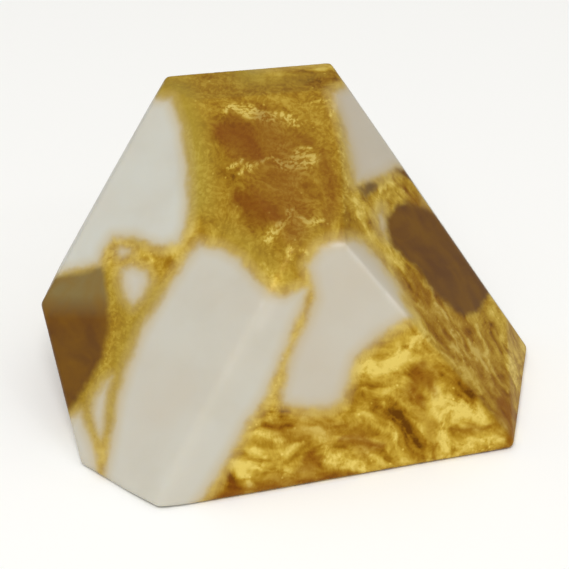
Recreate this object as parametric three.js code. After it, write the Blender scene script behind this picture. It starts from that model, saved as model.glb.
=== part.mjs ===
// Gold in quartz: one solid block with flat, hand-cut facets and lightly rubbed edges.
// Millimetres, +Z up. The block stands on its base facet, and its origin is on that
// plane, under the middle of its box. +X is its width, and its tall front facet looks
// towards -Y.
import * as THREE from "three";
import { ConvexGeometry } from "three/addons/geometries/ConvexGeometry.js";
import { mergeVertices } from "three/addons/utils/BufferGeometryUtils.js";

// Every cut is a flat facet. Turn is where it faces, in degrees from -Y towards +X.
// Rise is how far it looks up, in degrees. Reach is how far its plane lies from the
// point where the cuts were laid out, in millimetres.
const CUTS = {
  base: { turn: 0, rise: -90, reach: 0 },
  // The cuts that the front shows.
  front: { turn: 17, rise: 20.5, reach: 25.5 },
  left: { turn: -44, rise: 40, reach: 30.6 },
  right: { turn: 75.5, rise: 39.5, reach: 31 },
  top: { turn: 21, rise: 70.5, reach: 38 },
  topRear: { turn: 138.5, rise: 87.5, reach: 46.9 },
  rightStrip: { turn: 81, rise: 25.5, reach: 35 },
  leftFoot: { turn: -44, rise: 4, reach: 39.4 },
  // The cuts round the back.
  rearLeft: { turn: -99, rise: 28.5, reach: 43.2 },
  rearRight: { turn: 104.5, rise: 32, reach: 36.6 },
  leftUnder: { turn: -102, rise: -41, reach: 20.7 },
  rear: { turn: -165, rise: 21.5, reach: 43.8 },
  rearCorner: { turn: -140, rise: 4, reach: 37.5 },
  rearFoot: { turn: 170, rise: -14, reach: 26.3 },
};

// The edges are rubbed to this radius, in millimetres, with this many steps round each.
const EDGE_RADIUS = 1.2;
const EDGE_STEPS = 6;

// A point counts as inside a facet up to this distance over it, in millimetres.
const TOUCH = 1e-6;
// Vertices closer than this, in millimetres, are one vertex.
const WELD = 1e-4;

const SKIN = { color: 0xd2bf92, roughness: 0.22, metalness: 0 };

// The outward direction of a cut.
function facing({ turn, rise }) {
  const around = THREE.MathUtils.degToRad(turn);
  const up = THREE.MathUtils.degToRad(rise);
  return new THREE.Vector3(
    Math.sin(around) * Math.cos(up),
    -Math.cos(around) * Math.cos(up),
    Math.sin(up),
  );
}

// The planes of all cuts, each moved inwards by the edge radius.
function innerPlanes() {
  return Object.values(CUTS).map((cut) => ({
    normal: facing(cut),
    reach: cut.reach - EDGE_RADIUS,
  }));
}

// The point that three planes share, or null where they meet in no single point.
function sharedPoint(a, b, c) {
  const bc = b.normal.clone().cross(c.normal);
  const volume = a.normal.dot(bc);
  if (Math.abs(volume) < TOUCH) {
    return null;
  }
  const ca = c.normal.clone().cross(a.normal);
  const ab = a.normal.clone().cross(b.normal);
  return bc
    .multiplyScalar(a.reach)
    .addScaledVector(ca, b.reach)
    .addScaledVector(ab, c.reach)
    .divideScalar(volume);
}

// The corners of the solid that the planes enclose, each with its three planes.
function corners(planes) {
  const found = [];
  const isInside = (point) =>
    planes.every((plane) => plane.normal.dot(point) <= plane.reach + TOUCH);
  for (let i = 0; i < planes.length; i += 1) {
    for (let j = i + 1; j < planes.length; j += 1) {
      for (let k = j + 1; k < planes.length; k += 1) {
        const trio = [planes[i], planes[j], planes[k]];
        const point = sharedPoint(...trio);
        if (point && isInside(point)) {
          found.push({ point, trio });
        }
      }
    }
  }
  return found;
}

// The points of the round cap that rubbing leaves on a corner: a piece of a ball
// that spans the directions between the corner's three facets.
function cap({ point, trio }) {
  const points = [];
  for (let i = 0; i <= EDGE_STEPS; i += 1) {
    for (let j = 0; j <= EDGE_STEPS - i; j += 1) {
      const k = EDGE_STEPS - i - j;
      const direction = new THREE.Vector3()
        .addScaledVector(trio[0].normal, i)
        .addScaledVector(trio[1].normal, j)
        .addScaledVector(trio[2].normal, k)
        .normalize();
      points.push(point.clone().addScaledVector(direction, EDGE_RADIUS));
    }
  }
  return points;
}

// Moves a shape so that the origin is under the middle of its box, at its lowest point.
function standOnOrigin(geometry) {
  geometry.computeBoundingBox();
  const { min, max } = geometry.boundingBox;
  geometry.translate(-(min.x + max.x) / 2, -(min.y + max.y) / 2, -min.z);
  return geometry;
}

// The rubbed block: the round caps of all corners, with the facets stretched over them.
function blockGeometry() {
  const points = corners(innerPlanes()).flatMap(cap);
  const hull = new ConvexGeometry(points);
  hull.deleteAttribute("normal");
  return standOnOrigin(mergeVertices(hull, WELD));
}

const block = new THREE.Mesh(blockGeometry(), new THREE.MeshStandardMaterial(SKIN));
block.name = "block";

const goldInQuartz = new THREE.Group();
goldInQuartz.add(block);

export default goldInQuartz;
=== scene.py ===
"""Gold in quartz: a hand-cut, polished block of milky and smoky chunks in gold-shot amber."""

import math
import random

import bpy
import numpy as np
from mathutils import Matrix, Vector, noise


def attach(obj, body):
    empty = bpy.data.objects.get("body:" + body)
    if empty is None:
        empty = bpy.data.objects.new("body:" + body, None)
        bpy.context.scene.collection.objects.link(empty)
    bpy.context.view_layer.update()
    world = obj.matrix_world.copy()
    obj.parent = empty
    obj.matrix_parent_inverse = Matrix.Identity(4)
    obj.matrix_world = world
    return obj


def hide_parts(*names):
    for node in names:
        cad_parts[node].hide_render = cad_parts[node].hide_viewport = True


bl_info = {
    "name": "Gold in Quartz",
    "version": (1, 0, 0),
    "blender": (4, 5, 0),
    "location": "View3D > Sidebar > Quartz",
    "description": "Models, patterns and lights a hand-cut block of imitation gold in quartz",
    "category": "Object",
}

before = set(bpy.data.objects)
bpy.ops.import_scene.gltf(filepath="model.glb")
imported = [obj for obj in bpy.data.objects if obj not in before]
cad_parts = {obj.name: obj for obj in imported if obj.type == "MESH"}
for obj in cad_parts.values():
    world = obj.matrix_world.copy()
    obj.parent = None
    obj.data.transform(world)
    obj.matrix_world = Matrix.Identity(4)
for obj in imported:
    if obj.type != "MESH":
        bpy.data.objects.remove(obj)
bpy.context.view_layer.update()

# One millimetre in Blender's metres.
MM = 0.001

# Every cut is a flat facet: where it faces, in degrees from -Y towards +X, how far it looks
# up, in degrees, and how far its plane lies from the point the cuts were laid out from, in mm.
CUTS = {
    "base": (0, -90, 0),
    "front": (17, 20.5, 25.5),
    "left": (-44, 40, 30.6),
    "right": (75.5, 39.5, 31),
    "top": (21, 70.5, 38),
    "top_rear": (138.5, 87.5, 46.9),
    "right_strip": (81, 25.5, 35),
    "left_foot": (-44, 4, 39.4),
    "rear_left": (-99, 28.5, 43.2),
    "rear_right": (104.5, 32, 36.6),
    "left_under": (-102, -41, 20.7),
    "rear": (-165, 21.5, 43.8),
    "rear_corner": (-140, 4, 37.5),
    "rear_foot": (170, -14, 26.3),
}

# Width of the rough cube that the block is cut from, in mm.
ROUGH_CUBE = 200

# A drawing is a sheet of paper between an eye and the block. The eye stands turn degrees from
# -Y towards +X and looks down by rise degrees. Places on it are mm to the right and mm up from
# the block's origin, and near is how many mm a place stands out of the paper towards the eye.
FRONT = (0, 30)
REAR = (180, 25)
LEFT_SIDE = (-95, 10)
RIGHT_SIDE = (95, 15)
UNDER = (0, -90)

# The chunks in the body. Each was a broken piece with flat sides, so each is an outline on a
# drawing, carried straight through the block from near to far. Milky chunks are white and
# smoky ones are brown. Warmth tells how yellow the white of a milky chunk is, from 0 to 1.
MILKY_CHUNKS = {
    "upper_left": (
        FRONT,
        [(-45, 60), (-21.25, 48.25), (-19, 48), (-17, 42.5), (-16, 36.75), (-15.75, 31),
         (-16, 26.5), (-17.25, 24.25), (-20, 23.25), (-22.75, 24), (-25, 25), (-28.25, 25),
         (-29.75, 23), (-30.5, 20.75), (-34, 19.75), (-38.25, 19), (-60, 17.75)],
        40, -7, 0.25,
    ),
    "diagonal": (
        FRONT,
        [(-15.75, 22.75), (-14.25, 24.25), (-10.5, 23.5), (-7.5, 21.75), (-4.75, 18.5),
         (-3, 16.75), (-0.75, 16.25), (1.75, 17.25), (3.5, 17.25), (2.25, 13.75), (0.25, 8.5),
         (-1.5, 4), (-3.5, -0.25), (-6.25, -4), (-8.75, -8.75), (-11.5, -13.25),
         (-13.75, -16.5), (-15, -24), (-29, -24), (-29.5, -12.5), (-28.25, -7), (-27.25, -0.5),
         (-25.5, 5.5), (-23.5, 10.5), (-20.75, 15), (-18.25, 19)],
        60, 4, 0.5,
    ),
    "middle": (
        FRONT,
        [(4.5, 23.5), (7, 24.75), (10, 25), (12, 24), (14.5, 21.5), (17.5, 17), (19.5, 12.5),
         (17, 11), (14, 9), (10.5, 6), (9.5, 2.5), (8.5, -0.5), (6.5, -1.75), (3, -2),
         (-1, -1), (-1.5, 1), (-0.5, 5.5), (0.5, 8.5), (2.5, 12.5), (3.75, 15.5), (3.25, 18),
         (2.5, 20.5)],
        60, 2, 0.75,
    ),
    "top_right": (
        FRONT,
        [(6.75, 49), (9, 50.5), (13, 57), (30, 44), (22, 37), (17.75, 36.5), (14.5, 34.5),
         (10.5, 33.5), (9.5, 39), (8, 45)],
        40, -14, 1,
    ),
    "chip": (
        FRONT,
        [(-27, 20), (-25, 21), (-22.75, 20), (-21.75, 18.25), (-23, 15.5), (-24.75, 14),
         (-26.25, 15.5), (-27, 18)],
        40, 4, 0.6,
    ),
    "bead": (
        FRONT,
        [(-28, 23), (-27, 23.75), (-25.25, 23.5), (-25, 22.5), (-27.25, 21.75)],
        40, 4, 0.9,
    ),
    "sliver": (
        FRONT,
        [(-29.5, 2), (-28, 3), (-28.5, -1.5), (-29, -5), (-29.5, -7), (-30.5, -5.5),
         (-31.5, -3), (-31, -0.5)],
        40, 8, 0.6,
    ),
    "foot": (
        FRONT,
        [(-35.5, -3.5), (-33, -2.5), (-32, -4), (-31, -6.5), (-30, -8.5), (-29.5, -11),
         (-30, -20), (-45, -20), (-42, -6)],
        40, 2, 0.6,
    ),
    "splinter": (
        FRONT,
        [(15, 30), (15.5, 28), (15.5, 25), (14.5, 26), (14, 28.5)],
        40, 8, 0.9,
    ),
    "rear_slab": (
        REAR,
        [(-6, 28), (6, 30), (14, 22), (16, 8), (8, -2), (-2, -16), (-14, -16), (-10, 2)],
        60, 12, 0.4,
    ),
    "rear_corner": (
        REAR,
        [(24, 35), (41, 14), (43, 4), (34, -2), (26, 6), (21, 20)],
        60, 19, 0.3,
    ),
    "rear_right": (
        REAR,
        [(-40, 3), (-30, 8), (-22, 18), (-16, 13), (-20, 1), (-28, -12), (-44, -12)],
        60, 15, 0.6,
    ),
    "under_slab": (
        UNDER,
        [(-12, 20), (8, 21), (18, 8), (6, -6), (-10, 4)],
        60, -1.5, 0.5,
    ),
    "under_wedge": (
        UNDER,
        [(14, -12), (40, -14), (46, -34), (10, -36)],
        60, -1.5, 0.5,
    ),
}

# Tint runs from olive, at 0, over purple-brown, at 0.5, to red-brown, at 1. A smoky chunk goes
# from one tint to another along a way: where it starts, with its tint there, and where it ends.
SMOKY_CHUNKS = {
    "left": (
        FRONT,
        [(-60, 17.25), (-39, 18.75), (-33.5, 20), (-30, 20.5), (-29, 17), (-28.5, 11.5),
         (-29, 6.5), (-31, 2.5), (-33.5, -1), (-35.5, -3.25), (-50, -1)],
        40, -10, (-34, 16), 0, (-34, 8), 1,
    ),
    "right": (
        FRONT,
        [(15.5, 28.5), (17, 30.5), (19.5, 31.5), (22, 30.5), (26, 29.5), (32, 23), (35, 17.5),
         (33, 15), (31, 12.5), (28.5, 12), (26.5, 13.5), (23.5, 16), (21, 19.5),
         (18.5, 21.5), (16.5, 23.5), (15.5, 26)],
        40, -18, (18, 29), 0.5, (30, 14), 1,
    ),
    "speck": (
        FRONT,
        [(11, 33), (13, 34.5), (15, 34), (14, 32.5), (12.5, 31), (11.5, 31.5)],
        40, 6, (10, 33), 0.2, (16, 33), 0.3,
    ),
    "rear": (
        REAR,
        [(-19, 31), (-11, 29), (-12, 12), (-17, 18), (-24, 12), (-31, 10), (-27, 20)],
        60, 28, (-28, 14), 0.9, (-13, 24), 0.4,
    ),
    "rear_foot": (
        REAR,
        [(2, -18), (10, -4), (18, 0), (27, -2), (29, -18)],
        60, 12, (12, 0), 0.5, (20, -12), 0.9,
    ),
    "under": (
        UNDER,
        [(-34, 20), (-18, 24), (-14, 6), (-26, -4), (-38, 6)],
        60, -1.5, (-30, 20), 0.2, (-20, 0), 0.9,
    ),
}

# Where the body is clear amber with few flakes of gold in it: outlines like the chunks'.
AMBER_POOLS = {
    "top": (
        FRONT,
        [(-19, 52), (8, 52), (9, 40), (9, 28), (3, 22), (0, 18), (-4, 20), (-12, 26), (-17, 34)],
        40, -12,
    ),
    "rear": (REAR, [(2, 44), (24, 34), (26, 12), (14, 2), (6, 14)], 60, 12),
    "left": (LEFT_SIDE, [(-6, 12), (14, 24), (30, 8), (20, -6), (0, -4)], 60, 10),
}

# The folds of the gold as the front shows them: the line each follows on the front drawing,
# its half width in mm, how much brighter it is than the gold round it, from -1 to 1, and how
# much rust-coloured amber shows in it, from 0 to 1.
FRONT_FOLDS = [
    ([(-10, 45.25), (-7.75, 46), (-5.5, 45.5), (-3.75, 44.5)], 0.9, 0.95, 0),
    ([(-4.25, 44.5), (-2.25, 44.75), (0.25, 44.5), (1.75, 43.5)], 0.9, 0.85, 0),
    ([(3.75, 46.75), (5.5, 47.5), (7, 47.75)], 0.3, 0.7, 0),
    ([(-1.75, 37), (0.5, 36.5), (2.5, 36.75), (4.75, 37.5)], 1.2, 1, 0),
    ([(-10, 36), (-8.75, 37), (-7.25, 37.5)], 0.5, 0.8, 0),
    ([(-8, 35.25), (-6.5, 36.5), (-4.75, 37), (-2.75, 37.25)], 0.6, 0.8, 0),
    ([(0.25, 38.25), (2, 38.75), (3.75, 39.25)], 0.5, 0.7, 0),
    ([(-16.25, 42.75), (-15.5, 37.5), (-15.25, 32.5), (-15.5, 27.5)], 1, 0.45, 0),
    ([(-13.5, 42.25), (-13.5, 37.5), (-13.5, 31), (-12, 25.25)], 1.3, 0.15, 0),
    ([(-3.25, 23.5), (-2.25, 25.75), (-1, 27.75)], 0.5, 0.7, 0),
    ([(-0.5, 27.25), (0.25, 28.75), (0.75, 29.75)], 0.5, 0.65, 0),
    ([(2, 28), (3.5, 27.5), (5.25, 27.25)], 0.5, 0.7, 0),
    ([(1, 21), (0.5, 22.5), (1.5, 23), (2.75, 22.25)], 0.3, 0.5, 0),
    ([(-4.25, 21), (-3, 19.5), (-1.25, 18)], 0.5, 0.35, 0),
    ([(7.75, 44.5), (8.25, 41.75), (8.75, 37.5), (9, 33.25), (8.75, 29.25)], 0.4, 0.35, 0),
    ([(8.5, 47.75), (7.25, 46.25), (6.75, 44.5)], 0.3, 0.5, 0),
    ([(10, 31.75), (11, 30.25), (11.5, 28.25)], 0.3, 0.6, 0),
    ([(11.5, 29), (12.25, 27.5), (12.75, 25.75)], 0.3, 0.4, 0),
    ([(-10, 46), (-8.25, 46.75), (-6, 46.75), (-3.25, 46.25), (0.25, 45.75)], 0.5, -0.35, 0.1),
    ([(-11.25, 42.25), (-8.5, 41.5), (-6.25, 39.75), (-4.25, 37.75)], 3.6, -0.5, 0.9),
    ([(-7.5, 31), (-4.75, 30), (-2, 28)], 3.4, -0.5, 0.9),
    ([(-1, 41), (1.5, 40.5), (4, 40)], 2.2, -0.1, 0.45),
    ([(-2, 33), (1, 32.5), (4, 32)], 2.4, -0.05, 0.45),
    ([(-8.5, 34.75), (-5.25, 34.25), (-1.5, 34.75), (1.75, 35.25)], 0.7, -0.2, 0),
    ([(-8.25, 32.5), (-7.25, 28.5), (-6, 25.25)], 0.8, -0.3, 0.3),
    ([(1.25, 41.5), (2.5, 40.75), (4.25, 40.5)], 1, -0.1, 0.7),
    ([(5.25, 39), (6, 35), (6.5, 30.75), (5.75, 26.75)], 1.8, -0.2, 0.5),
    ([(-1, 52.25), (3.5, 52), (8.5, 51.25)], 1, -0.65, 0),
    ([(-20.75, 49), (-14.5, 49.25), (-6.25, 49.75), (2, 50.5), (7.75, 51)], 1.1, -0.2, 0),
    ([(-29.75, 21.75), (-29, 24), (-26.75, 24.5), (-24.75, 23.5), (-23.75, 21.75),
        (-22, 21.25)], 0.5, 0.35, 0),
    ([(-29.5, 20.25), (-28.25, 16.75), (-28, 12), (-28, 8.5), (-29.5, 4.25), (-31.25, 0.5),
        (-31.5, -1.5), (-30.25, -4.5), (-30, -8.5)], 0.5, 0.1, 0),
    ([(-19.75, 22.25), (-21.75, 19), (-23.75, 15), (-25.5, 11.75), (-27, 7.25)], 0.5, 0.1, 0),
    ([(-22, 22.25), (-20.5, 21.25), (-18.75, 21.25), (-16.75, 22)], 0.5, -0.1, 0),
    ([(4, 16.5), (2.25, 12.5), (0.25, 8), (-1.25, 3.5), (-2.5, 0)], 0.3, 0.3, 0),
    ([(14, 31.5), (15.25, 33), (16.5, 34.25), (17.75, 34.75)], 0.5, 0.7, 0),
    ([(17.25, 35.5), (19.75, 32.25), (21.75, 29.5), (24.75, 25.25)], 0.6, -0.35, 0.5),
    ([(15.5, 23.75), (17.25, 21.25), (19, 18.25), (20.25, 15.25)], 0.5, 0.3, 0),
    ([(19, 20.25), (21, 17.5), (23, 15)], 0.5, -0.1, 0),
    ([(19.5, 14.25), (20.75, 11.75), (21.75, 9), (23.25, 7)], 0.4, 0.5, 0),
    ([(21.5, 15), (23, 12.25), (25, 9.5)], 0.5, -0.3, 0),
    ([(23.5, 14.5), (25.25, 12.25), (26.5, 9), (27.5, 5.5)], 0.5, 0.6, 0),
    ([(26.75, 11.5), (28.25, 9), (29.5, 6.25), (30.75, 3.5)], 0.5, -0.2, 0),
    ([(29.25, 8.5), (30.25, 6.75), (31.5, 5), (32.5, 2.5)], 0.4, 0.6, 0),
    ([(32.5, 10), (33.25, 7), (34.5, 3.75), (35.25, 0.25)], 0.6, -0.5, 0.2),
    ([(36.5, 7.5), (37.5, 5), (38, 1.75)], 0.5, 0.7, 0),
    ([(36.25, 12), (37.25, 10), (38.75, 7.25)], 0.6, -0.3, 0),
    ([(20.5, 10.25), (19.25, 8), (18, 6)], 0.6, 0.8, 0),
    ([(21.25, 9.75), (23.25, 8.5), (25.25, 7.25)], 0.5, 0.5, 0),
    ([(10.5, 4.5), (12, 5.25), (13.5, 4.75)], 1, 0.85, 0),
    ([(15.5, 4.75), (16.75, 6.5), (18, 7.25)], 0.8, 0.8, 0),
    ([(13.5, 3), (15.5, 2), (17, 1.75)], 0.5, -0.1, 0),
    ([(22.5, 6.75), (24.75, 6.25), (27.25, 4.75), (29.25, 2), (30.75, -0.25)], 0.4, 0.5, 0),
    ([(23.75, 4.75), (25.75, 3.75), (27.25, 2.25), (28.25, 0.25)], 0.5, -0.3, 0),
    ([(21.25, 5.5), (20.25, 3), (19.75, 0.25), (20.75, -1.75)], 1.3, -0.4, 0.6),
    ([(23.25, 4.25), (22.25, 1.75), (22.5, -0.5), (23.75, -2.5)], 0.6, 0.2, 0),
    ([(23.75, 0.75), (25.75, -0.25), (27.5, -1)], 0.8, 0.5, 0),
    ([(24.75, -2.5), (27, -2.25), (29.25, -2.5), (31, -3.5)], 1, 0.9, 0),
    ([(26.25, 0.5), (28, 1), (29.25, -0.5), (29, -2)], 0.4, -0.45, 0),
    ([(23.25, -2.5), (24, -5.5), (24.5, -8.25), (25, -10.25)], 0.6, 0.75, 0),
    ([(26.75, -8.25), (29, -7.75), (31.75, -7.5), (33.75, -7.25)], 1, 0.65, 0),
    ([(25.75, -5), (28.5, -5.5), (31, -5.25), (33.25, -4)], 0.6, -0.6, 0.4),
    ([(34, -0.75), (35, -3), (35, -5.25)], 0.8, -0.2, 0.9),
    ([(32.5, 2.5), (33, 0.25), (34, -1.5)], 0.8, -0.55, 0.3),
    ([(9.25, 0), (11, -0.25), (12.75, -1), (13.75, -2)], 1.6, -1, 0),
    ([(21, 33), (26, 27), (31, 20.5), (35, 15)], 1.6, -0.45, 0.3),
    ([(13.25, -1), (16.25, -2.75), (18.75, -5), (20.5, -7.5), (21, -10.5)], 0.8, -0.5, 0.1),
    ([(14, -0.75), (16.75, -1.75), (19.5, -3.75), (21.25, -6), (22.25, -8.5)], 0.2, 0.4, 0),
    ([(17.5, 0), (20.25, -2.25), (22.25, -5), (23.25, -9.5)], 1.1, -0.5, 0.2),
    ([(15, 0.75), (16.25, 1), (17.5, 1.25)], 0.6, 0.3, 0),
    ([(-3.25, -3), (-2.25, -2), (-1, -1.75)], 0.6, 0.7, 0),
    ([(-5, -5), (-3.75, -5.75), (-2.25, -5.5)], 0.5, 0.95, 0),
    ([(-2, -6.5), (-1.25, -6.25), (-0.5, -6)], 0.6, 0.8, 0),
    ([(-4.25, -4), (-2.5, -4.25), (-0.75, -4)], 0.6, -0.5, 0.5),
    ([(-5, -7), (-3.25, -7.5), (-1.25, -7.25)], 0.6, -0.5, 0),
    ([(-5.75, -8), (-4.5, -8.25), (-3.5, -9)], 0.5, 0.6, 0),
    ([(-8, -9.75), (-6.25, -10.25), (-4.25, -10)], 0.8, 0.85, 0),
    ([(-7, -11.5), (-6.25, -13), (-5.75, -14)], 0.7, 0.9, 0),
    ([(0, -8.25), (1.25, -7.25), (2.75, -6.5)], 0.3, 0.6, 0),
    ([(0.75, -9), (2, -7.75), (3.5, -7.25)], 0.3, -0.4, 0),
    ([(-0.5, -11.75), (0, -10.5), (0.75, -11.25)], 0.5, 0.55, 0),
    ([(-3.25, -11.25), (-1.75, -11.75), (-0.5, -13)], 0.6, -0.6, 0),
    ([(1.75, -10.25), (3, -9.5), (4.25, -8.5)], 0.8, -0.25, 0.7),
    ([(4.75, -6.75), (5.75, -8.25), (5.25, -10)], 0.6, 0.6, 0),
    ([(5.25, -10.5), (7.5, -9.75), (10, -10.25), (11.75, -11.5)], 1, 0.85, 0),
    ([(4.5, -12), (6.5, -13), (8.75, -12.5)], 0.7, -1, 0.3),
    ([(1.5, -13.25), (3, -13.25), (4.5, -13.25)], 0.6, -0.9, 0.7),
    ([(-9.5, -12.5), (-8.75, -14.25), (-7.5, -15.25)], 0.8, -0.9, 0.8),
    ([(-4.25, -14.25), (-2.5, -14), (-0.75, -14)], 0.6, -0.6, 0.7),
    ([(6.5, -5), (8, -4.25), (9.75, -4.25)], 0.6, 0.2, 0),
    ([(8, -7), (10, -6.75), (12, -6.75), (14.25, -7.5)], 1, 0, 0.8),
    ([(12, -8.75), (14, -9.75), (15.5, -11)], 0.6, 0.5, 0),
    ([(16.75, -6.75), (17.75, -8.75), (18.25, -11)], 0.6, 0.4, 0),
    ([(15.5, -4.5), (16.5, -5.5), (16.75, -7.25)], 0.6, 0.6, 0),
    ([(1.75, -4.75), (4.25, -5.25), (6, -6.75)], 0.4, 0.4, 0),
    ([(0.25, -2.75), (2.75, -3.5), (5.25, -4)], 0.6, 0, 0),
    ([(-1, -5.25), (1.75, -6), (3.5, -6.25)], 0.6, -0.15, 0),
    ([(-11, -16.25), (-9.5, -15.5), (-6.75, -15)], 0.6, -0.4, 0.9),
    ([(-9.75, -11), (-8.75, -9.25), (-7.5, -7.25)], 0.5, -0.3, 0),
    ([(10.5, 3.5), (12, 4), (13.5, 4.25)], 1.6, 0.5, 0),
    ([(14.25, 4), (18, 6.5), (21.5, 10.25)], 1.3, 0.5, 0),
    ([(25.5, -1.5), (28.5, -2.5), (31.5, -4)], 2, 0.4, 0),
    ([(23.25, 1.5), (23.75, -4), (25, -11.75)], 1.2, 0.45, 0),
    ([(26, -10.5), (29.5, -9.5), (32.5, -8.5)], 1.3, 0.45, 0),
    ([(21, 14.5), (23, 13), (25, 11.5)], 0.8, 0.6, 0),
    ([(26, 8), (28, 5.5), (29.75, 3)], 0.8, 0.6, 0),
    ([(29.5, 6.75), (31.25, 3.5), (32.75, 0)], 0.7, 0.6, 0),
    ([(34, 8), (35.25, 4.75), (36.5, 1.5)], 0.8, 0.5, 0),
    ([(20, 3.5), (21.5, 2.75), (22.5, 1)], 2.2, -0.25, 0.6),
    ([(13.5, -1.5), (17.5, -4.75), (21.5, -11.75)], 1.6, -0.8, 0.1),
    ([(34.5, -1), (35.25, -4.5), (35, -8)], 1.8, -0.25, 0.8),
    ([(-8.5, -10), (-6.5, -10.5), (-4.5, -10.5)], 1.6, 0.35, 0),
    ([(5.75, -10.5), (8.75, -10.5), (11.5, -11.5)], 1.5, 0.35, 0),
    ([(15.75, -4.5), (16.5, -5.25), (17, -6.5)], 1.2, 0.5, 0),
    ([(9.5, -7.5), (11.25, -7), (13, -7.25)], 2.2, -0.1, 0.7),
    ([(-10.5, -16), (-9.25, -15.25), (-8, -14.5)], 2, -0.5, 0.7),
    ([(2, -11.5), (3.25, -11), (4.5, -10)], 2, 0, 0.6),
    ([(20, 18), (28, 8), (35, -1)], 4.5, -0.25, 0.4),
    ([(22, 18.5), (25, 12), (30, 5)], 0.7, 0.8, 0),
    ([(25, 15), (28, 9.5), (32, 3.5)], 0.6, 0.7, 0),
    ([(30.5, 10.5), (33, 5.5), (35.5, 0)], 0.6, 0.8, 0),
    ([(35.5, 9), (36.5, 5), (37.5, 1)], 0.6, 0.7, 0),
    ([(23.5, 16.5), (26.5, 11), (31, 4.5)], 0.5, -0.6, 0.2),
    ([(33.5, 11), (35, 6), (36.5, 1)], 0.6, -0.6, 0.2),
    ([(-9, -15.5), (0, -13.5), (10, -12.5)], 1.8, -0.3, 0.6),
    ([(-3, -4), (3, -5), (9, -5)], 2.5, -0.15, 0.35),
    ([(-4, 44), (-1, 36), (1, 26)], 5.5, 0.1, 0.7),
]

# Painted highlights along edges: the two cuts that meet there, the stretch of it on the front
# drawing, the half width of the painted pale band in mm, and how strong it is, from 0 to 1.
HIGHLIGHT_EDGES = [
    ("front", "top", (4.25, 23.25), (9.25, 24), 0.4, 1),
    ("front", "right", (9.5, 24), (16.5, 16.5), 0.35, 0.4),
    ("front", "right", (16.5, 16.5), (20, 12.5), 0.4, 0.9),
    ("front", "left", (1.5, 19), (-3.5, 11), 1.2, 0.3),
]

# Sides with no drawn folds get this many, laid at random with a fixed seed for each side.
SCATTERED_FOLDS = 170
SIDE_SEEDS = {REAR: 11, LEFT_SIDE: 23, RIGHT_SIDE: 37, UNDER: 41}

# Every fold is pushed about by this much, over this length, in mm, and always the same way.
WOBBLE_PULL = 1.0
WOBBLE_SIZE = 3.0
WOBBLE_SEED = 5
# How far from its line a fold is laid, as a multiple of its half width plus 1 mm.
FOLD_REACH = 3
# A dark fold counts for this share of its strength.
DARK_SHARE = 0.8
# How softly a painted edge highlight begins and ends along its length, in mm.
HIGHLIGHT_END = 1.2
# Distances to the chunks are stored up to this many mm.
GAP_LIMIT = 20

# The ridge between the front and left facets is rubbed rounder than the rest: its line on the
# front drawing, how far from it the skin is smoothed, in mm, and how often.
SOFT_RIDGE = ((4.5, 23), (-21, -17), 4.5, 80)


def linear(hex_colour):
    """Turns an sRGB hex colour, such as "#c8b27a", into the linear one that a shader takes."""
    channels = [int(hex_colour[at:at + 2], 16) / 255 for at in (1, 3, 5)]
    curved = [c / 12.92 if c <= 0.04045 else ((c + 0.055) / 1.055) ** 2.4 for c in channels]
    return (*curved, 1.0)


def colour_setting(name, description, hex_colour):
    """One colour that a user may change, with its default given as sRGB hex."""
    return bpy.props.FloatVectorProperty(
        name=name, description=description, subtype="COLOR", size=4, min=0, max=1,
        default=linear(hex_colour))


class BlockSettings(bpy.types.PropertyGroup):
    """Sizes of the block's surface."""

    edge_radius: bpy.props.FloatProperty(
        name="Edge radius", description="How round the rubbed edges between the facets are",
        unit="LENGTH", default=1.2 * MM, min=0.2 * MM)
    skin_step: bpy.props.FloatProperty(
        name="Skin step", description="Size of the faces that carry the pattern",
        unit="LENGTH", default=0.5 * MM, min=0.3 * MM)
    wave_depth: bpy.props.FloatProperty(
        name="Wave depth", description="How deep the hand-cut facets dip from a true plane",
        unit="LENGTH", default=0.12 * MM, min=0)
    wave_length: bpy.props.FloatProperty(
        name="Wave length", description="How far apart the dips of a facet are",
        unit="LENGTH", default=16 * MM, min=1 * MM)


class QuartzColours(bpy.types.PropertyGroup):
    """Colours of the cast body and of the chunks in it."""

    milky_cool: colour_setting("Milky, cool", "White of the clearest milky chunk", "#c8c9c0")
    milky_warm: colour_setting("Milky, warm", "White of the yellowest milky chunk", "#c1b7a5")
    milky_clear: colour_setting("Milky, clear", "Milky chunk where it's clearer", "#b9b2a0")
    # Painted highlight: the white a milky chunk is painted along edges where light would catch
    # them.
    milky_painted_highlight: colour_setting("Milky, worn", "Milky chunk under a painted edge highlight", "#f2f0ec")
    milky_rim: colour_setting("Milky rim", "White where the gold shines through", "#bca468")
    smoky_olive: colour_setting("Smoky, olive", "Thin end of a smoky chunk", "#8c7848")
    smoky_purple: colour_setting("Smoky, purple", "Cool middle of a smoky chunk", "#6c441a")
    smoky_red: colour_setting("Smoky, red", "Deep end of a smoky chunk", "#6d481e")
    gold_shadow: colour_setting("Gold shadow", "Gold turned away", "#633c07")
    gold_deep: colour_setting("Deep gold", "Gold in half shadow", "#916510")
    gold: colour_setting("Gold", "Gold seen plainly", "#a98220")
    gold_bright: colour_setting("Bright gold", "Gold that faces the light", "#c6a53e")
    gold_pale: colour_setting("Pale gold", "Crest of a fold", "#e0c664")
    rust: colour_setting("Rust", "Amber with little gold in it", "#82470e")
    lime: colour_setting("Lime", "Amber lit through a milky chunk", "#b09838")


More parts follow.
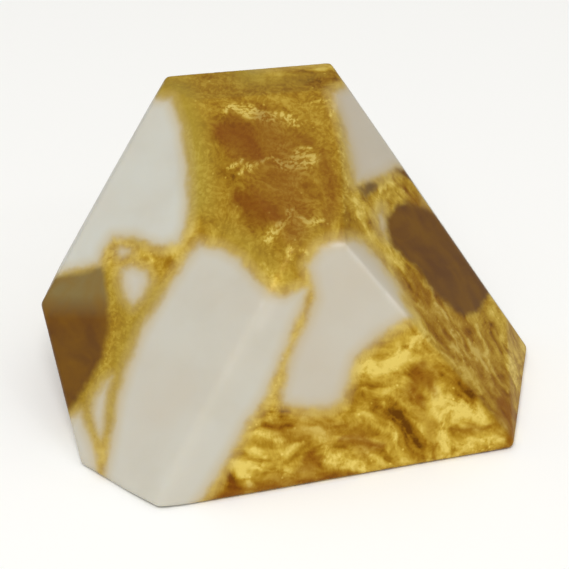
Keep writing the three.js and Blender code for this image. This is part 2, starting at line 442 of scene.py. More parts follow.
class StageSettings(bpy.types.PropertyGroup):
    """Camera, lights and floor."""

    lens: bpy.props.FloatProperty(
        name="Lens", description="Focal length in mm on a 36 mm sensor", default=150, min=20)
    distance: bpy.props.FloatProperty(
        name="Distance", description="From the camera to the point it looks at",
        unit="LENGTH", default=385.5 * MM, min=0.1)
    key_power: bpy.props.FloatProperty(
        name="Key power", description="Power of the main softbox in watts", default=24.2, min=0)
    fill_power: bpy.props.FloatProperty(
        name="Fill power", description="Power of the right softbox in watts", default=0.13, min=0)
    edge_power: bpy.props.FloatProperty(
        name="Edge power", description="Power in watts of the small lamp that picks out edges",
        default=0.15, min=0)
    floor_colour: colour_setting("Floor", "Colour of the pale floor", "#fbfbf9")


def facing(turn, rise):
    """The direction that looks turn degrees from -Y towards +X and rise degrees up."""
    around = math.radians(turn)
    up = math.radians(rise)
    return Vector((
        math.sin(around) * math.cos(up), -math.cos(around) * math.cos(up), math.sin(up)))


def start_piece():
    """Deselects everything, so that the next operator acts on its own piece alone."""
    if bpy.context.object and bpy.context.object.mode != "OBJECT":
        bpy.ops.object.mode_set(mode="OBJECT")
    bpy.ops.object.select_all(action="DESELECT")


def apply_modifier(piece, name, kind, **settings):
    """Adds one modifier to the piece and applies it."""
    modifier = piece.modifiers.new(name, kind)
    for key, value in settings.items():
        setattr(modifier, key, value)
    bpy.context.view_layer.objects.active = piece
    bpy.ops.object.modifier_apply(modifier=name)


def cut_cube(name, inset):
    """A cube cut flat by every facet of the block, each moved inwards by the inset."""
    start_piece()
    bpy.ops.mesh.primitive_cube_add(size=ROUGH_CUBE * MM)
    solid = bpy.context.object
    solid.name = name
    bpy.ops.object.mode_set(mode="EDIT")
    for turn, rise, reach in CUTS.values():
        outward = facing(turn, rise)
        bpy.ops.mesh.select_all(action="SELECT")
        bpy.ops.mesh.bisect(
            plane_co=outward * (reach * MM - inset), plane_no=outward, use_fill=True,
            clear_outer=True)
    bpy.ops.object.mode_set(mode="OBJECT")
    return solid


def points_of(piece):
    """The piece's vertices as an array, in metres."""
    flat = np.empty(len(piece.data.vertices) * 3)
    piece.data.vertices.foreach_get("co", flat)
    return flat.reshape(-1, 3)


def normals_of(piece):
    """Which way the skin faces at each of the piece's vertices."""
    flat = np.empty(len(piece.data.vertices) * 3)
    piece.data.vertices.foreach_get("normal", flat)
    return flat.reshape(-1, 3)


def set_points(piece, points):
    """Moves the piece's vertices to the points."""
    piece.data.vertices.foreach_set("co", points.ravel())
    piece.data.update()


class Paper:
    """A drawing laid over the block: which way is right, up and near on it."""

    def __init__(self, drawing):
        turn, rise = (math.radians(angle) for angle in drawing)
        self.right = np.array((math.cos(turn), math.sin(turn), 0.0))
        self.up = np.array((
            -math.sin(turn) * math.sin(rise), math.cos(turn) * math.sin(rise),
            math.cos(rise)))
        self.near = np.array(facing(*drawing))

    def places(self, points):
        """Where points in mm fall on the drawing, and how near to the eye each is."""
        flat = np.stack((points @ self.right, points @ self.up), axis=1)
        return flat, points @ self.near


def gap_to_line(places, start, end):
    """The distance from each place to the line from start to end, and how far along it is."""
    start, run = np.array(start, float), np.subtract(end, start, dtype=float)
    offset = places - start
    along = np.clip(offset @ run / (run @ run), 0, 1)
    return np.linalg.norm(offset - along[:, None] * run, axis=1), along


def soften_ridge(skin, ridge):
    """Rubs one edge rounder than the others."""
    start, end, reach, rounds = ridge
    places, depth = Paper(FRONT).places(points_of(skin) / MM)
    share = np.clip(1 - gap_to_line(places, start, end)[0] / reach, 0, 1) * (depth > 0)
    group = skin.vertex_groups.new(name="soft_ridge")
    for index in np.flatnonzero(share):
        group.add([int(index)], float(share[index]), "REPLACE")
    apply_modifier(
        skin, "soften", "SMOOTH", factor=0.5, iterations=rounds, vertex_group=group.name)


def gap_to_outline(places, outline):
    """The distance from each place to the outline in mm, below zero inside it."""
    nearest = np.full(len(places), np.inf)
    inside = np.zeros(len(places), bool)
    x, y = places.T
    for (x0, y0), (x1, y1) in zip(outline, outline[1:] + outline[:1]):
        nearest = np.minimum(nearest, gap_to_line(places, (x0, y0), (x1, y1))[0])
        if y0 != y1:
            inside ^= ((y0 > y) != (y1 > y)) & (x < (x1 - x0) * (y - y0) / (y1 - y0) + x0)
    return np.where(inside, -nearest, nearest)


def gap_to_chunk(points, drawing, outline, near, far):
    """The distance from each point to a chunk of the body in mm, below zero inside it."""
    places, depth = Paper(drawing).places(points)
    return np.maximum.reduce((gap_to_outline(places, outline), depth - near, far - depth))


def rounded_line(points, steps=4):
    """A smooth line through the points of a fold."""
    ends = [points[0], *points, points[-1]]
    line = []
    for before, start, end, after in zip(ends, ends[1:], ends[2:], ends[3:]):
        p0, p1, p2, p3 = (np.array(p, float) for p in (before, start, end, after))
        for step in range(steps):
            t = step / steps
            line.append(0.5 * (
                2 * p1 + (p2 - p0) * t + (2 * p0 - 5 * p1 + 4 * p2 - p3) * t * t
                + (3 * p1 - p0 - 3 * p2 + p3) * t ** 3))
    line.append(np.array(points[-1], float))
    return line


def scattered_folds(seed):
    """Short curved folds laid at random, for a side with no drawn folds."""
    draw = random.Random(seed)
    drift = draw.uniform(0, math.tau)
    folds = []
    for _ in range(SCATTERED_FOLDS):
        at = np.array((draw.uniform(-42, 42), draw.uniform(-38, 40)))
        heading = drift + 0.9 * math.sin(at[0] * 0.07 + drift) + draw.gauss(0, 0.35)
        bend = draw.uniform(-0.25, 0.25)
        stride = draw.uniform(1.5, 4)
        points = []
        for _ in range(4):
            points.append(tuple(at))
            at = at + stride * np.array((math.cos(heading), math.sin(heading)))
            heading += bend
        width = draw.uniform(0.4, 1.3)
        tone = draw.choice((1, 1, -1)) * draw.uniform(0.3, 1)
        rust = draw.uniform(0.3, 1) if tone < 0 or draw.random() < 0.15 else 0
        folds.append((points, width, tone, rust))
    return folds


def lay_folds(points, normals, drawing, folds):
    """The tone, rust and flow that the folds of one drawing give to each point of the skin."""
    paper = Paper(drawing)
    places, _ = paper.places(points)
    tone = np.zeros(len(points))
    rust = np.zeros(len(points))
    flow = np.zeros((len(points), 3))
    for outline, width, strength, redness in folds:
        line = rounded_line(outline)
        low = np.min(line, axis=0) - FOLD_REACH * (width + 1)
        high = np.max(line, axis=0) + FOLD_REACH * (width + 1)
        near = np.flatnonzero(np.all((places > low) & (places < high), axis=1))
        if not len(near):
            continue
        best = np.full(len(near), np.inf)
        heading = np.zeros((len(near), 2))
        along = np.zeros(len(near))
        count = len(line) - 1
        for index, (start, end) in enumerate(zip(line, line[1:])):
            gap, share = gap_to_line(places[near], start, end)
            closer = gap < best
            best = np.where(closer, gap, best)
            along = np.where(closer, (index + share) / count, along)
            heading[closer] = (end - start) / np.linalg.norm(end - start)
        taper = 0.35 + 0.65 * np.sin(math.pi * np.clip(along, 0.02, 0.98)) ** 0.7
        body = np.exp(-(best / (width * taper)) ** 2)
        tone[near] += strength * body
        rust[near] = np.maximum(rust[near], redness * body)
        pull = np.exp(-(best / (width + 1.2)) ** 2)
        flow[near] += pull[:, None] * (heading[:, :1] * paper.right + heading[:, 1:] * paper.up)
    seen = np.clip(normals @ paper.near * 2.5, 0, 1)
    return tone * seen, rust * seen, flow * seen[:, None]


def drift_of(points):
    """The slow flow of the cast body where no fold sets it."""
    x, y, z = points.T
    return np.stack((
        np.cos(0.08 * y + 0.11 * z),
        np.sin(0.07 * z - 0.09 * x + 1.3),
        -0.6 + 0.7 * np.sin(0.10 * x + 0.06 * y)), axis=1)


def write_attribute(piece, name, values):
    """Stores one value, or one direction, for each point of the skin."""
    kind = "FLOAT_VECTOR" if values.ndim == 2 else "FLOAT"
    attribute = piece.data.attributes.new(name, kind, "POINT")
    attribute.data.foreach_set(
        "vector" if values.ndim == 2 else "value", values.astype(np.float32).ravel())


def wobbled(points):
    """Points pushed about a little, so that a drawn line comes out broken and uneven."""
    noise.seed_set(WOBBLE_SEED)
    pushes = [noise.noise_vector(Vector(point) / WOBBLE_SIZE) for point in points]
    return points + WOBBLE_PULL * np.array(pushes)


class QUARTZ_OT_cut_block(bpy.types.Operator):
    """Cut the block to its facets and rub its edges round."""

    bl_idname = "quartz.cut_block"
    bl_label = "Cut the Block"

    def execute(self, context):
        settings = context.scene.quartz_block
        radius = settings.edge_radius
        core = cut_cube("core", radius)
        skin = cut_cube("quartz_block", 0)
        apply_modifier(skin, "skin", "REMESH", mode="VOXEL", voxel_size=settings.skin_step)
        apply_modifier(
            skin, "rub", "SHRINKWRAP", target=core, wrap_method="NEAREST_SURFACEPOINT",
            wrap_mode="ON_SURFACE", offset=radius)
        bpy.data.objects.remove(core)
        points = points_of(skin)
        low, high = points.min(axis=0), points.max(axis=0)
        middle = (low + high) / 2
        set_points(skin, points - (middle[0], middle[1], low[2]))
        soften_ridge(skin, SOFT_RIDGE)
        waves = bpy.data.textures.new("hand_cut_waves", "CLOUDS")
        waves.noise_scale = settings.wave_length
        apply_modifier(
            skin, "waves", "DISPLACE", texture=waves, strength=settings.wave_depth,
            mid_level=1.0)
        bpy.ops.object.shade_smooth()
        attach(skin, "root")
        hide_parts("block")
        return {"FINISHED"}


def gap_to_facet(points, cut):
    """How far each point lies under the plane of one cut, in mm."""
    turn, rise, _ = CUTS[cut]
    heights = points @ np.array(facing(turn, rise))
    return heights.max() - heights


def lay_milky(points):
    """The distance from each point to the milky chunks, and the warmth of the nearest."""
    milky = np.full(len(points), np.inf)
    warmth = np.zeros(len(points))
    for drawing, outline, near, far, warm in MILKY_CHUNKS.values():
        gap = gap_to_chunk(points, drawing, outline, near, far)
        warmth = np.where(gap < milky, warm, warmth)
        milky = np.minimum(milky, gap)
    return milky, warmth


def lay_smoky(points):
    """The distance from each point to the smoky chunks, and the tint of the nearest."""
    smoky = np.full(len(points), np.inf)
    tint = np.zeros(len(points))
    for drawing, outline, near, far, start, tint_start, end, tint_end in SMOKY_CHUNKS.values():
        gap = gap_to_chunk(points, drawing, outline, near, far)
        places, _ = Paper(drawing).places(points)
        along = gap_to_line(places, start, end)[1]
        tint = np.where(gap < smoky, tint_start + (tint_end - tint_start) * along, tint)
        smoky = np.minimum(smoky, gap)
    return smoky, tint


def lay_amber(points):
    """The distance from each point to the pools of clear amber."""
    return np.minimum.reduce([gap_to_chunk(points, *pool) for pool in AMBER_POOLS.values()])


def lay_gold(points, normals):
    """The tone, rust and flow of the gold at each point: drawn in front, scattered elsewhere."""
    folds = {FRONT: FRONT_FOLDS}
    folds.update({side: scattered_folds(seed) for side, seed in SIDE_SEEDS.items()})
    tone = np.zeros(len(points))
    rust = np.zeros(len(points))
    flow = 0.3 * drift_of(points)
    drawn = np.clip(normals @ Paper(FRONT).near * 4, 0, 1)
    uneven = wobbled(points)
    for drawing, lines in folds.items():
        bright, red, way = lay_folds(uneven, normals, drawing, lines)
        share = drawn if drawing == FRONT else 1 - drawn
        tone += bright * share
        rust = np.maximum(rust, red * share)
        flow += way * share[:, None]
    flow -= np.sum(flow * normals, axis=1)[:, None] * normals
    flow /= np.maximum(np.linalg.norm(flow, axis=1), 1e-6)[:, None]
    return np.tanh(np.where(tone < 0, DARK_SHARE * tone, tone)), rust, flow


def lay_painted_highlights(points):
    """How strongly each point carries a painted edge highlight, from 0 to 1."""
    worn = np.zeros(len(points))
    places, _ = Paper(FRONT).places(points)
    for one, other, start, end, width, strength in HIGHLIGHT_EDGES:
        gap = np.hypot(gap_to_facet(points, one), gap_to_facet(points, other))
        aside = gap_to_line(places, start, end)[0] / HIGHLIGHT_END
        worn = np.maximum(worn, strength * np.exp(-(gap / width) ** 2 - aside ** 2))
    return worn


class QUARTZ_OT_lay_pattern(bpy.types.Operator):
    """Carry the chunks and folds of the body to the block's skin."""

    bl_idname = "quartz.lay_pattern"
    bl_label = "Lay the Pattern"

    def execute(self, context):
        skin = bpy.data.objects["quartz_block"]
        points = points_of(skin) / MM
        milky, warmth = lay_milky(points)
        smoky, tint = lay_smoky(points)
        tone, rust, flow = lay_gold(points, normals_of(skin))
        pattern = {
            # Painted highlight along some edges of the milky chunks.
            "worn": lay_painted_highlights(points),
            "milky_gap": np.clip(milky, -GAP_LIMIT, GAP_LIMIT),
            "milky_warmth": warmth,
            "smoky_gap": np.clip(smoky, -GAP_LIMIT, GAP_LIMIT),
            "smoky_tint": tint,
            "amber_gap": np.clip(lay_amber(points), -GAP_LIMIT, GAP_LIMIT),
            "fold_tone": tone,
            "fold_rust": rust,
            "flow": flow,
        }
        for name, values in pattern.items():
            write_attribute(skin, name, values)
        return {"FINISHED"}


# Sockets of a Mix node that mixes colours: its factor, its two colours and its result.
MIX_FACTOR, MIX_A, MIX_B, MIX_RESULT = 0, 6, 7, 2

# All sizes in the pattern are in mm. The chunks' edges wander by this much, over this length,
# and fray by less, over a shorter one.
EDGE_WANDER, EDGE_WANDER_LENGTH = 0.8, 3.5
EDGE_FRAY, EDGE_FRAY_LENGTH = 0.3, 0.9
# How far the soft border between a chunk and the gold reaches out of the chunk and into it.
EDGE_OUTSIDE, EDGE_INSIDE = 0.45, 1.05
# Half the width of the soft border of a pool of amber.
AMBER_SOFTNESS = 2.5
# The body was stirred: swirls, and curls in them, by their size and how far each pulls.
SWIRL_SIZE, SWIRL_PULL = 7.0, 3.0
CURL_SIZE, CURL_PULL = 2.2, 1.0
# Folds of mica run far back through the body: this share of their depth doesn't count.
DEPTH_STRETCH = 0.5
# Layers of the mica's grain: how wide each is, how far it is smeared along the flow, and how
# much it adds to the shine. Clouds and flakes aren't smeared.
WISP_WIDTH, WISP_LENGTH, WISP_SHARE = 2.4, 5.0, 1.9
FIBRE_WIDTH, FIBRE_LENGTH, FIBRE_SHARE = 0.8, 2.6, 1.25
CLOUD_SIZE, CLOUD_SHARE = 2.6, 0.75
FLAKE_SIZE, FLAKE_SHARE = 1.1, 0.4
# A streak is smeared in this many steps each way.
STREAK_TAPS = 2
# Shine of plain gold, and what a milky chunk close by and clear amber add to it.
PLAIN_SHINE, PALED_SHINE, CLEAR_SHINE = 0.5, 0.25, -0.1
# Clear amber holds this much less mica.
CLEAR_LOSS = 0.55
# Glints on the foil: their size, how strongly they show on a fold, how much more they show
# there in clear amber, and how much they show in clear amber off the folds.
GLINT_SIZE, FOIL_GLINT, FOIL_GLINT_CLEAR, CLEAR_GLINT = 0.6, 0.3, 0.7, 0.07
# Specks of mica: how far apart they may lie, how far out each reaches, as a share of that,
# the share of places that stay empty, and how brightly the best of them shines.
SPECKLE_SPACING, SPECKLE_REACH, SPECKLE_EMPTY, SPECKLE_SHINE = 1.0, 0.3, 0.87, 0.45
# Where each colour of the gold lies on the scale of its shine.
SHINE_STEPS = {
    0.0: "gold_shadow", 0.21: "gold_deep", 0.41: "gold", 0.66: "gold_bright", 1.0: "gold_pale"}
# How much of the gold's colour a fold's rust covers at most.
RUST_COVER = 0.85
# Faint veils and clearer patches in the milky chunks, and how much a veil warms the white.
VEIL_SIZE, PATCH_SIZE, VEIL_WARMTH = 14.0, 8.0, 0.8
# Each of these gives its third number where what it reads is at the first, and its fourth
# where that is at the second. Read from the flakes: how much of a fold is left. From noises:
# glints, bands in the smoky chunks and patches in the milky ones. From the distance to a milky
# chunk: how pale gold is, how lime clear amber is, and how yellow the chunk's own rim is.
FOLD_BREAKS = (0.36, 0.6, 0.32, 0.56)
GLINT_FLASH = (0.38, 0.62, -0.5, 1.5)
SMOKY_BANDS = (0.4, 0.62, 0.0, 0.5)
MILKY_PATCHES = (0.42, 0.8, 0.0, 0.3)
PALE_GOLD = (1.9, 0.0, 0.0, 0.5)
LIME_AMBER = (6.0, 1.0, 0.0, 1.0)
YELLOW_RIM = (-2.6, 0.3, 0.0, 0.6)
# The finish: how rough the chunks are and how much rougher the gold is, how metallic mica is,
# how much light goes through smoky chunks and clear amber, and how much milky ones scatter.
CHUNK_ROUGHNESS, GOLD_ROUGHENING, MICA_METAL = 0.36, 0.08, 0.15
SMOKY_PASSES, CLEAR_PASSES, MILKY_SCATTERS = 0.2, 0.12, 0.35
RESIN_IOR = 1.48


def add_node(tree, kind, settings=None, inputs=None):
    """Adds one node with its settings, and with a value or a link for each input given."""
    node = tree.nodes.new(kind)
    for name, value in (settings or {}).items():
        setattr(node, name, value)
    for name, value in (inputs or {}).items():
        if isinstance(value, bpy.types.NodeSocket):
            tree.links.new(value, node.inputs[name])
        else:
            node.inputs[name].default_value = value
    return node


def compute(tree, operation, *values):
    """One step of arithmetic on numbers."""
    return add_node(
        tree, "ShaderNodeMath", {"operation": operation}, dict(enumerate(values))).outputs[0]


def compute_vector(tree, operation, *values):
    """One step of arithmetic on places or directions."""
    return add_node(
        tree, "ShaderNodeVectorMath", {"operation": operation},
        dict(enumerate(values))).outputs[0]


def scaled(tree, vector, factor):
    """A place or a direction times a number."""
    return add_node(
        tree, "ShaderNodeVectorMath", {"operation": "SCALE"},
        {0: vector, "Scale": factor}).outputs[0]


def eased(tree, value, start, end, low=0.0, high=1.0, curve="SMOOTHSTEP"):
    """A number that is low where the value is at the start, and high where it is at the end."""
    return add_node(
        tree, "ShaderNodeMapRange", {"interpolation_type": curve},
        {"Value": value, "From Min": start, "From Max": end, "To Min": low,
         "To Max": high}).outputs[0]


def mixed(tree, share, one, other):
    """A colour that goes from one to the other as the share goes from 0 to 1."""
    return add_node(
        tree, "ShaderNodeMix", {"data_type": "RGBA"},
        {MIX_FACTOR: share, MIX_A: one, MIX_B: other}).outputs[MIX_RESULT]


def ramp_colour(tree, value, steps):
    """A colour that runs through the steps as the value goes from 0 to 1."""
    ramp = add_node(tree, "ShaderNodeValToRGB", {}, {"Fac": value})
    elements = ramp.color_ramp.elements
    while len(elements) < len(steps):
        elements.new(0.5)
    for element, (at, colour) in zip(elements, steps.items()):
        element.position = at
        element.color = colour
    return ramp.outputs["Color"]


def stored(tree, name, output="Fac"):
    """What the skin stores under the name."""
    return add_node(
        tree, "ShaderNodeAttribute", {"attribute_name": name}).outputs[output]


def lumps(tree, place, size, detail):
    """A soft noise from 0 to 1, with lumps of the given size."""
    return add_node(
        tree, "ShaderNodeTexNoise", {},
        {"Vector": place, "Scale": 1 / size, "Detail": detail}).outputs["Fac"]


def streaks(tree, place, flow, width, length):
    """Streaks that run along the flow: a noise, smeared both ways along it."""
    total = 0.0
    for tap in range(-STREAK_TAPS, STREAK_TAPS + 1):
        along = tap * length / (2 * STREAK_TAPS + 1)
        shifted = compute_vector(tree, "MULTIPLY_ADD", flow, (along, along, along), place)
        grain = add_node(
            tree, "ShaderNodeTexNoise", {},
            {"Vector": shifted, "Scale": 1 / width, "Detail": 1.5, "Roughness": 0.6})
        total = compute(tree, "ADD", total, grain.outputs["Fac"])
    return compute(tree, "DIVIDE", total, 2 * STREAK_TAPS + 1)


def pushed(tree, place, size, pull):
    """Places pushed about by a noise of the given size, by up to about the pull."""
    push = add_node(
        tree, "ShaderNodeTexNoise", {},
        {"Vector": place, "Scale": 1 / size, "Detail": 1.0}).outputs["Color"]
    centred = compute_vector(tree, "SUBTRACT", push, (0.5, 0.5, 0.5))
    return compute_vector(tree, "MULTIPLY_ADD", centred, (pull, pull, pull), place)


def stirred(tree, place):
    """Places as they were before the body was stirred, drawn out from front to back."""
    towards = tuple(facing(*FRONT))
    depth = add_node(
        tree, "ShaderNodeVectorMath", {"operation": "DOT_PRODUCT"},
        {0: place, 1: towards}).outputs["Value"]
    shift = scaled(tree, towards, compute(tree, "MULTIPLY", depth, -DEPTH_STRETCH))
    swirled = pushed(tree, compute_vector(tree, "ADD", place, shift), SWIRL_SIZE, SWIRL_PULL)
    return pushed(tree, swirled, CURL_SIZE, CURL_PULL)


def edge_wander(tree, place):
    """How far the chunks' edges stray from straight, as broken edges do."""
    broad = lumps(tree, place, EDGE_WANDER_LENGTH, 2.0)
    fine = lumps(tree, place, EDGE_FRAY_LENGTH, 3.0)
    return compute(
        tree, "ADD",
        compute(tree, "MULTIPLY_ADD", broad, 2 * EDGE_WANDER, -EDGE_WANDER),
        compute(tree, "MULTIPLY_ADD", fine, 2 * EDGE_FRAY, -EDGE_FRAY))


def chunk_cover(tree, gap, wander):
    """How much of a chunk shows at a place, from 0 in the gold to 1 in the chunk."""
    return eased(tree, compute(tree, "ADD", gap, wander), EDGE_OUTSIDE, -EDGE_INSIDE)


def mica_grain(tree, swirled, wisp, flake):
    """The grain of the mica, about zero: wisps, fibres, clouds and flakes."""
    fibre = streaks(tree, swirled, stored(tree, "flow", "Vector"), FIBRE_WIDTH, FIBRE_LENGTH)
    cloud = lumps(tree, swirled, CLOUD_SIZE, 3.0)
    grain = 0.0
    for layer, share in (
            (wisp, WISP_SHARE), (fibre, FIBRE_SHARE), (cloud, CLOUD_SHARE),
            (flake, FLAKE_SHARE)):
        centred = compute(tree, "SUBTRACT", layer, 0.5)
        grain = compute(tree, "MULTIPLY_ADD", centred, share, grain)
    return grain


def foil_fold(tree, flake, glint, clear):
    """The folds of the gold, broken up by its flakes, with glints on the bright ones."""
    broken = eased(tree, flake, *FOLD_BREAKS)
    fold = compute(tree, "MULTIPLY", stored(tree, "fold_tone"), broken)
    foil = compute(
        tree, "MULTIPLY",
        compute(tree, "MULTIPLY_ADD", clear, FOIL_GLINT_CLEAR, FOIL_GLINT), glint)
    bright = compute(tree, "MAXIMUM", fold, 0.0)
    return compute(tree, "MULTIPLY_ADD", bright, foil, fold)


def speckled(tree, place, shine):
    """The shine, with a few bright specks of mica in it."""
    speckle = add_node(
        tree, "ShaderNodeTexVoronoi", {"feature": "F1"},
        {"Vector": place, "Scale": 1 / SPECKLE_SPACING})
    chance = add_node(
        tree, "ShaderNodeSeparateColor", {}, {"Color": speckle.outputs["Color"]}).outputs[0]
    lucky = eased(tree, chance, SPECKLE_EMPTY, 1.0, 0.0, SPECKLE_SHINE, "LINEAR")
    dot = eased(tree, speckle.outputs["Distance"], SPECKLE_REACH, 0.05)
    return compute(tree, "MULTIPLY_ADD", lucky, dot, shine)


def gold_colour(tree, colours, shine, clear, paled):
    """Gold by its shine, lime or pale beside a milky chunk, and rusty where mica is scarce."""
    steps = {at: getattr(colours, name) for at, name in SHINE_STEPS.items()}
    gold = ramp_colour(tree, shine, steps)
    near_milky = eased(tree, stored(tree, "milky_gap"), *LIME_AMBER)
    lit_through = compute(
        tree, "MULTIPLY", compute(tree, "MULTIPLY", near_milky, clear),
        compute(tree, "SUBTRACT", 1.0, stored(tree, "milky_warmth")))
    gold = mixed(tree, lit_through, gold, colours.lime)
    gold = mixed(tree, paled, gold, colours.milky_rim)
    rust = compute(tree, "MULTIPLY", stored(tree, "fold_rust"), RUST_COVER)
    return mixed(tree, rust, gold, colours.rust)


def smoky_colour(tree, colours, wisp):
    """Smoky chunks run from olive over purple-brown to red-brown, with faint cloudy bands."""
    smoke = ramp_colour(
        tree, stored(tree, "smoky_tint"),
        {0.0: colours.smoky_olive, 0.5: colours.smoky_purple, 1.0: colours.smoky_red})
    band = eased(tree, wisp, *SMOKY_BANDS, "LINEAR")
    return mixed(tree, band, smoke, colours.gold_deep)


def milky_colour(tree, colours, place, swirled):
    """Milky chunks are evenly white, with faint veils, a painted highlight along some edges, and
    yellow where gold lies close.
    """
    veil = compute(
        tree, "MULTIPLY_ADD", lumps(tree, place, VEIL_SIZE, 2.0), VEIL_WARMTH, -VEIL_WARMTH / 2)
    warmth = compute(tree, "ADD", stored(tree, "milky_warmth"), veil)
    warmth = add_node(tree, "ShaderNodeClamp", {}, {"Value": warmth}).outputs[0]
    milk = mixed(tree, warmth, colours.milky_cool, colours.milky_warm)
    patch = eased(tree, lumps(tree, swirled, PATCH_SIZE, 3.0), *MILKY_PATCHES)
    milk = mixed(tree, patch, milk, colours.milky_clear)
    # Painted highlight along the edges where light would catch them.
    milk = mixed(tree, stored(tree, "worn"), milk, colours.milky_painted_highlight)
    rim = eased(tree, stored(tree, "milky_gap"), *YELLOW_RIM)
    return mixed(tree, rim, milk, colours.milky_rim)


def cast_quartz_material(colours):
    """Cast gem resin with chunks, ground flat and polished.

    The eye sees milky chunks that glow softly, smoky brown ones that look deep, and between
    them amber full of gold mica, whose folds flash like crumpled foil under a thin gloss.
    """
    material = bpy.data.materials.new("cast_quartz")
    material.use_nodes = True
    tree = material.node_tree
    tree.nodes.clear()

    where = add_node(tree, "ShaderNodeTexCoord").outputs["Object"]
    place = scaled(tree, where, 1 / MM)
    wander = edge_wander(tree, place)
    milky = chunk_cover(tree, stored(tree, "milky_gap"), wander)
    smoky = compute(
        tree, "MULTIPLY", chunk_cover(tree, stored(tree, "smoky_gap"), wander),
        compute(tree, "SUBTRACT", 1.0, milky))
    golden = compute(tree, "SUBTRACT", compute(tree, "SUBTRACT", 1.0, milky), smoky)
    clear = eased(tree, stored(tree, "amber_gap"), AMBER_SOFTNESS, -AMBER_SOFTNESS)
    mica = compute(tree, "MULTIPLY_ADD", clear, -CLEAR_LOSS, 1.0)

    swirled = stirred(tree, place)
    wisp = streaks(tree, swirled, stored(tree, "flow", "Vector"), WISP_WIDTH, WISP_LENGTH)
    flake = lumps(tree, swirled, FLAKE_SIZE, 2.0)
    grain = mica_grain(tree, swirled, wisp, flake)
    glint = eased(tree, lumps(tree, swirled, GLINT_SIZE, 2.0), *GLINT_FLASH)
    fold = foil_fold(tree, flake, glint, clear)
    paled = eased(tree, stored(tree, "milky_gap"), *PALE_GOLD)

    shine = compute(tree, "MULTIPLY_ADD", grain, mica, PLAIN_SHINE)
    shine = compute(tree, "ADD", fold, shine)
    shine = compute(tree, "MULTIPLY_ADD", paled, PALED_SHINE, shine)
    shine = compute(tree, "MULTIPLY_ADD", clear, CLEAR_SHINE, shine)
    shine = compute(
        tree, "MULTIPLY_ADD", compute(tree, "SUBTRACT", glint, 0.5),
        compute(tree, "MULTIPLY", clear, CLEAR_GLINT), shine)
    shine = speckled(tree, place, shine)

    gold = gold_colour(tree, colours, shine, clear, paled)
    smoke = smoky_colour(tree, colours, wisp)
    milk = milky_colour(tree, colours, place, swirled)
    relief = compute(tree, "MULTIPLY", golden, compute(tree, "ADD", fold, grain))
    bump = add_node(
        tree, "ShaderNodeBump", {},
        {"Strength": 0.5, "Distance": 0.2 * MM, "Height": relief})
    metal = compute(tree, "MULTIPLY", golden, compute(tree, "MULTIPLY", mica, MICA_METAL))
    passes = compute(tree, "MULTIPLY", golden, compute(tree, "MULTIPLY", clear, CLEAR_PASSES))
    passes = compute(tree, "MULTIPLY_ADD", smoky, SMOKY_PASSES, passes)
    roughness = compute(tree, "MULTIPLY_ADD", golden, GOLD_ROUGHENING, CHUNK_ROUGHNESS)
    skin = add_node(
        tree, "ShaderNodeBsdfPrincipled", {},
        {"Base Color": mixed(tree, milky, mixed(tree, smoky, gold, smoke), milk),
         "Metallic": metal,
         "Roughness": roughness,
         "IOR": RESIN_IOR,
         "Specular IOR Level": 0.03,
         "Normal": bump.outputs[0],
         "Transmission Weight": passes,
         "Subsurface Weight": compute(tree, "MULTIPLY", milky, MILKY_SCATTERS),
         "Subsurface Radius": (1.0, 0.8, 0.55),
         "Subsurface Scale": 3.0 * MM,
         "Coat Weight": 0.05,
         "Coat Roughness": 0.2,
         "Coat IOR": RESIN_IOR})
    add_node(
        tree, "ShaderNodeOutputMaterial", {}, {"Surface": skin.outputs[0]})
    return material


class QUARTZ_OT_polish(bpy.types.Operator):
    """Give the block its cast and polished finish."""

    bl_idname = "quartz.polish"
    bl_label = "Polish the Block"

    def execute(self, context):
        skin = bpy.data.objects["quartz_block"]
        skin.data.materials.clear()
        skin.data.materials.append(cast_quartz_material(context.scene.quartz_colours))
        return {"FINISHED"}


# The camera looks at this point, from straight in front and this far above level.
LOOK_AT = Vector((-0.67, 1.05, 19.7)) * MM
CAMERA_RISE = 30
# Each softbox: where it stands, in degrees from -Y towards +X and up, its distance from the
# block and its width, in mm, and the setting that holds its power.
SOFTBOXES = {
    "key_light": (-6, 50, 2000, 914, "key_power"),
    "fill_light": (80, 24, 800, 120, "fill_power"),
    "edge_light": (46, 42, 800, 60, "edge_power"),
}
FLOOR_WIDTH = 3000
# The room is dim at eye level and bright overhead.
HORIZON_STRENGTH = 0.09
ZENITH_STRENGTH = 0.8


def floor_material(colour):
    """Matt card: pale and even, with a faint tooth that keeps it from looking like plastic."""
    material = bpy.data.materials.new("matt_card")
    material.use_nodes = True
    tree = material.node_tree
    tree.nodes.clear()
    where = add_node(tree, "ShaderNodeTexCoord").outputs["Object"]
    tooth = add_node(
        tree, "ShaderNodeTexNoise", {}, {"Vector": where, "Scale": 1 / (0.8 * MM)})
    bump = add_node(
        tree, "ShaderNodeBump", {},
        {"Strength": 0.1, "Distance": 0.05 * MM, "Height": tooth.outputs["Fac"]})
    card = add_node(
        tree, "ShaderNodeBsdfPrincipled", {},
        {"Base Color": colour, "Roughness": 0.9, "Normal": bump.outputs[0]})
    add_node(tree, "ShaderNodeOutputMaterial", {}, {"Surface": card.outputs[0]})
    return material


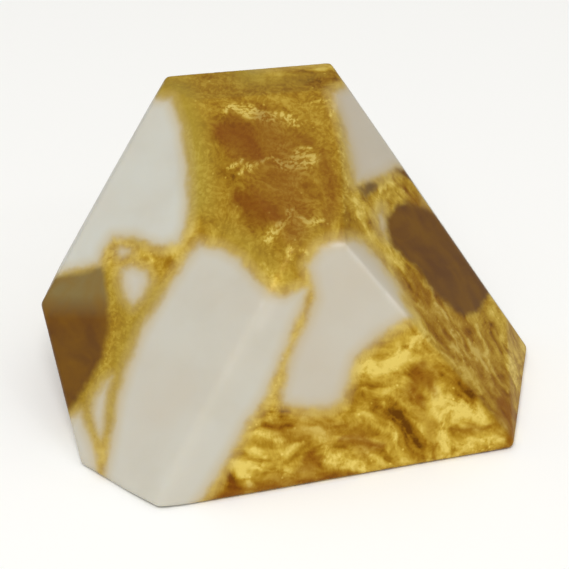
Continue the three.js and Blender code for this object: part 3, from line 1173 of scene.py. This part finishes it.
class QUARTZ_OT_set_stage(bpy.types.Operator):
    """Set the block on a pale floor under soft studio light, and place the camera."""

    bl_idname = "quartz.set_stage"
    bl_label = "Set the Stage"

    def execute(self, context):
        settings = context.scene.quartz_stage
        start_piece()
        bpy.ops.mesh.primitive_plane_add(size=FLOOR_WIDTH * MM)
        floor = context.object
        floor.name = "floor"
        floor.data.materials.append(floor_material(settings.floor_colour))

        for name, (turn, rise, distance, width, power) in SOFTBOXES.items():
            towards = facing(turn, rise)
            bpy.ops.object.light_add(
                type="AREA", location=LOOK_AT + towards * distance * MM,
                rotation=towards.to_track_quat("Z", "Y").to_euler())
            light = context.object
            light.name = name
            light.data.shape = "SQUARE"
            light.data.size = width * MM
            light.data.energy = getattr(settings, power)

        back = facing(0, CAMERA_RISE)
        bpy.ops.object.camera_add(
            location=LOOK_AT + back * settings.distance,
            rotation=(math.radians(90 - CAMERA_RISE), 0, 0))
        camera = context.object
        camera.data.lens = settings.lens
        camera.data.sensor_width = 36
        camera.data.clip_start = 0.01
        context.scene.camera = camera

        world = bpy.data.worlds.new("pale_room")
        world.use_nodes = True
        background = world.node_tree.nodes["Background"]
        background.inputs["Color"].default_value = (1.0, 0.99, 0.97, 1.0)
        towards = add_node(world.node_tree, "ShaderNodeTexCoord").outputs["Generated"]
        height = add_node(
            world.node_tree, "ShaderNodeSeparateXYZ", {}, {"Vector": towards}).outputs["Z"]
        strength = add_node(
            world.node_tree, "ShaderNodeMapRange", {},
            {"Value": height, "From Min": 0.0, "From Max": 1.0,
             "To Min": HORIZON_STRENGTH, "To Max": ZENITH_STRENGTH}).outputs[0]
        world.node_tree.links.new(strength, background.inputs["Strength"])
        context.scene.world = world
        context.scene.view_settings.view_transform = "Standard"
        return {"FINISHED"}


class QUARTZ_PT_panel(bpy.types.Panel):
    """Lists the steps that make the block, with their settings."""

    bl_idname = "QUARTZ_PT_panel"
    bl_label = "Gold in Quartz"
    bl_space_type = "VIEW_3D"
    bl_region_type = "UI"
    bl_category = "Quartz"

    def draw(self, context):
        steps = (
            (context.scene.quartz_stage, (QUARTZ_OT_set_stage,)),
            (context.scene.quartz_block, (QUARTZ_OT_cut_block, QUARTZ_OT_lay_pattern)),
            (context.scene.quartz_colours, (QUARTZ_OT_polish,)))
        for settings, operators in steps:
            box = self.layout.box()
            for name in settings.__annotations__:
                box.prop(settings, name)
            for operator in operators:
                box.operator(operator.bl_idname)


CLASSES = (
    BlockSettings,
    QuartzColours,
    StageSettings,
    QUARTZ_OT_set_stage,
    QUARTZ_OT_cut_block,
    QUARTZ_OT_lay_pattern,
    QUARTZ_OT_polish,
    QUARTZ_PT_panel,
)


def register():
    """Registers the classes, and gives the scene their settings."""
    for each in CLASSES:
        bpy.utils.register_class(each)
    bpy.types.Scene.quartz_block = bpy.props.PointerProperty(type=BlockSettings)
    bpy.types.Scene.quartz_colours = bpy.props.PointerProperty(type=QuartzColours)
    bpy.types.Scene.quartz_stage = bpy.props.PointerProperty(type=StageSettings)


def unregister():
    """Takes the settings off the scene, and unregisters the classes."""
    del bpy.types.Scene.quartz_stage
    del bpy.types.Scene.quartz_colours
    del bpy.types.Scene.quartz_block
    for each in reversed(CLASSES):
        bpy.utils.unregister_class(each)


def main():
    """Makes the stage and the block."""
    register()
    bpy.ops.quartz.set_stage()
    bpy.ops.quartz.cut_block()
    bpy.ops.quartz.lay_pattern()
    bpy.ops.quartz.polish()


if __name__ == "__main__":
    main()
